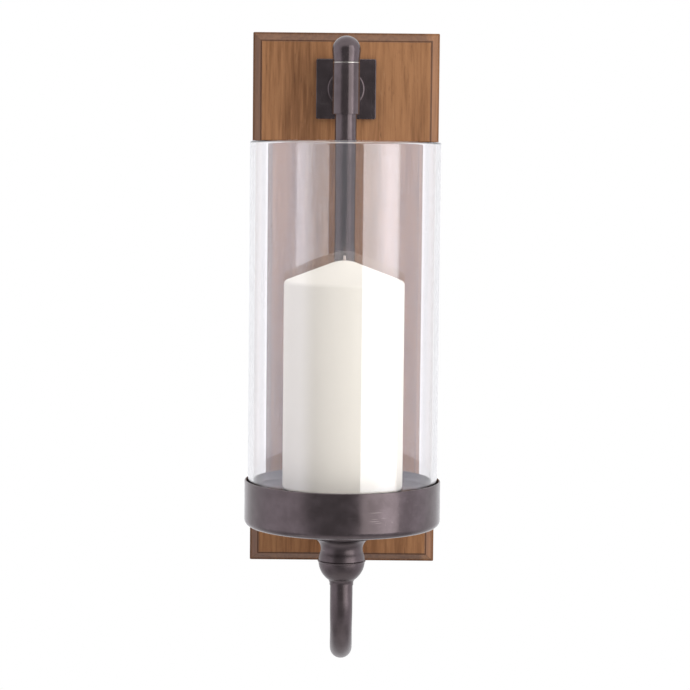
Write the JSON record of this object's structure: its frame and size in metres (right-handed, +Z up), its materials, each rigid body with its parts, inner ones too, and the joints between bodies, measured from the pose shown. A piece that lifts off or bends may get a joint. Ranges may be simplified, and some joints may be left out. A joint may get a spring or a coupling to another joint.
{
  "type": "wall sconce candle holder",
  "caption": "Wall sconce for a pillar candle: moulded wooden backboard, hooked metal rod that swivels in a sleeve, round tray and a lift-off glass cylinder.",
  "frame": {"origin": "centre of the backboard's back face, against the wall", "axes": "+X to the right seen from the room, +Y into the wall, +Z up"},
  "size_m": [0.125, 0.1882, 0.4075],
  "materials": {
    "stained_wood": "brown stained and waxed hardwood",
    "dark_bronze": "hand-rubbed dark bronze on iron, satin",
    "bright_steel": "plain steel washer",
    "zinc_steel": "zinc-plated hardware",
    "clear_glass": "clear blown tube, fire-polished edges",
    "ivory_wax": "ivory candle wax, faint sheen",
    "cotton_wick": "waxed braided cotton"
  },
  "bodies": {
    "wall_bracket": {"backboard": "stained_wood", "wall_plate": "dark_bronze", "arm_collar": "dark_bronze", "arm": "dark_bronze", "sleeve": "dark_bronze", "thrust_washer": "bright_steel", "plate_bolts": "zinc_steel", "plate_bolt_washers": "zinc_steel", "hanger_plate_upper": "zinc_steel", "hanger_plate_lower": "zinc_steel", "hanger_screws": "zinc_steel"},
    "hook_arm": {"hook_rod": "dark_bronze", "finial": "dark_bronze", "knuckle": "dark_bronze", "tray_pan": "dark_bronze", "tray_platform": "dark_bronze", "tray_screw": "zinc_steel", "tray_screw_washer": "zinc_steel"},
    "glass": {"glass_cylinder": "clear_glass"},
    "pillar_candle": {"candle": "ivory_wax", "wick": "cotton_wick"}
  },
  "joints": [
    {"name": "arm_swivel", "type": "hinge", "parent": "wall_bracket", "child": "hook_arm", "pos_m": [0, -0.05, 0.141], "axis": [0, 0, 1], "range_deg": [-60, 60]},
    {"name": "glass_lift", "type": "slide", "parent": "hook_arm", "child": "glass", "axis": [0, 0, 1], "range_m": [0, 0.155]},
    {"name": "candle_lift", "type": "slide", "parent": "hook_arm", "child": "pillar_candle", "axis": [0, 0, 1], "range_m": [0, 0.225]}
  ]
}
